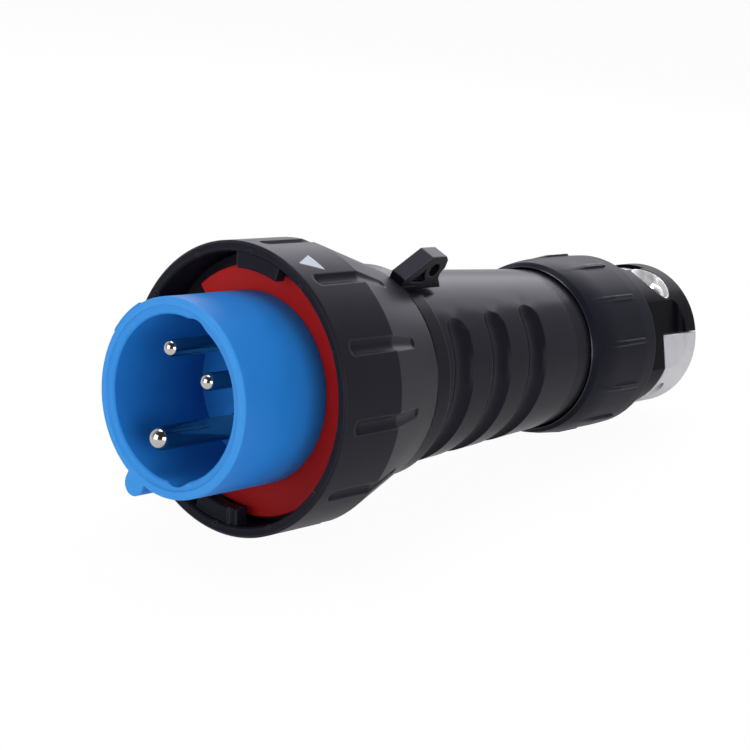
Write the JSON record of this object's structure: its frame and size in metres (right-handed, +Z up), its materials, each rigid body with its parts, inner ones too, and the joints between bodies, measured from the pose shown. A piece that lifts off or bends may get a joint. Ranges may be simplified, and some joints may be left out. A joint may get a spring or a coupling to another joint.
{
  "type": "industrial pin-and-sleeve plug",
  "caption": "Cable plug with a blue shroud over round contact pins, red face seal, bayonet locking ring, grooved grip and a rear cord clamp.",
  "frame": {"origin": "on the plug's axis, in the front face of the red sealing gasket", "axes": "+Y along the axis from the contacts to the cord entry, +Z up as the plug lies on a flute of its ring (15 degrees round its axis from the picture), +X to the right seen from the front"},
  "size_m": [0.0848, 0.2422, 0.0848],
  "materials": {
    "shroud_blue": "satin moulded polyamide, blue",
    "contact_nickel": "nickel-plated brass, polished",
    "terminal_brass": "plain brass",
    "carrier_grey": "matte moulded plastic, light grey",
    "screw_steel": "zinc-plated steel",
    "seal_rubber": "black rubber",
    "gasket_red": "red silicone rubber, matte",
    "ring_black": "satin black moulded plastic, cone glossier",
    "mark_grey": "pale grey-blue inlay",
    "housing_black": "satin black moulded plastic",
    "nut_black": "satin blue-black moulded plastic",
    "clamp_black": "satin black moulded plastic",
    "saddle_grey": "satin moulded plastic, light grey",
    "clamp_chrome": "bright chromed steel"
  },
  "bodies": {
    "housing": {"housing": "housing_black", "contact_insert": "shroud_blue", "pin_earth": "contact_nickel", "pin_line": "contact_nickel", "pin_neutral": "contact_nickel", "rear_carrier": "carrier_grey", "terminal_screws": "terminal_brass", "carrier_screws": "screw_steel", "retaining_ring": "housing_black", "insert_screws": "screw_steel", "insert_seal": "seal_rubber", "face_gasket": "gasket_red", "rear_collar": "housing_black", "nut_seal": "seal_rubber", "cable_seal": "seal_rubber"},
    "locking_ring": {"locking_ring": "ring_black", "index_mark": "mark_grey"},
    "cord_clamp": {"clamp_body": "clamp_black", "clamp_bridge": "clamp_chrome", "clamp_washers": "clamp_chrome", "thrust_washer": "carrier_grey"},
    "gland_nut": {"gland_nut": "nut_black"},
    "saddle": {"clamp_saddle": "saddle_grey", "clamp_bushes": "terminal_brass"},
    "screw_left": {"clamp_screw_left": "clamp_chrome"},
    "screw_right": {"clamp_screw_right": "clamp_chrome"}
  },
  "joints": [
    {"name": "ring_turn", "type": "hinge", "parent": "housing", "child": "locking_ring", "pos_m": [0, 0, 0], "axis": [0, 1, 0], "range_deg": [-40, 0]},
    {"name": "clamp_travel", "type": "slide", "parent": "housing", "child": "cord_clamp", "axis": [0, 1, 0], "range_m": [0, 0.006]},
    {"name": "nut_turn", "type": "hinge", "parent": "cord_clamp", "child": "gland_nut", "pos_m": [0, 0.157, 0], "axis": [0, 1, 0], "range_deg": [0, 720]},
    {"name": "saddle_travel", "type": "slide", "parent": "cord_clamp", "child": "saddle", "axis": [0.2588, 0, -0.9659], "range_m": [0, 0.0035]},
    {"name": "screw_left_turn", "type": "hinge", "parent": "cord_clamp", "child": "screw_left", "pos_m": [-0.01497, 0.1952, -0.00401], "axis": [-0.2588, 0, 0.9659], "range_deg": [0, 1800]},
    {"name": "screw_right_turn", "type": "hinge", "parent": "cord_clamp", "child": "screw_right", "pos_m": [0.01497, 0.1952, 0.00401], "axis": [-0.2588, 0, 0.9659], "range_deg": [0, 1800]}
  ],
  "couplings": [
    {"joint": "clamp_travel", "follows": "nut_turn", "m_per_rad": 0.000477},
    {"joint": "screw_left_turn", "follows": "saddle_travel", "rad_per_m": 8975.9},
    {"joint": "screw_right_turn", "follows": "saddle_travel", "rad_per_m": 8975.9}
  ]
}
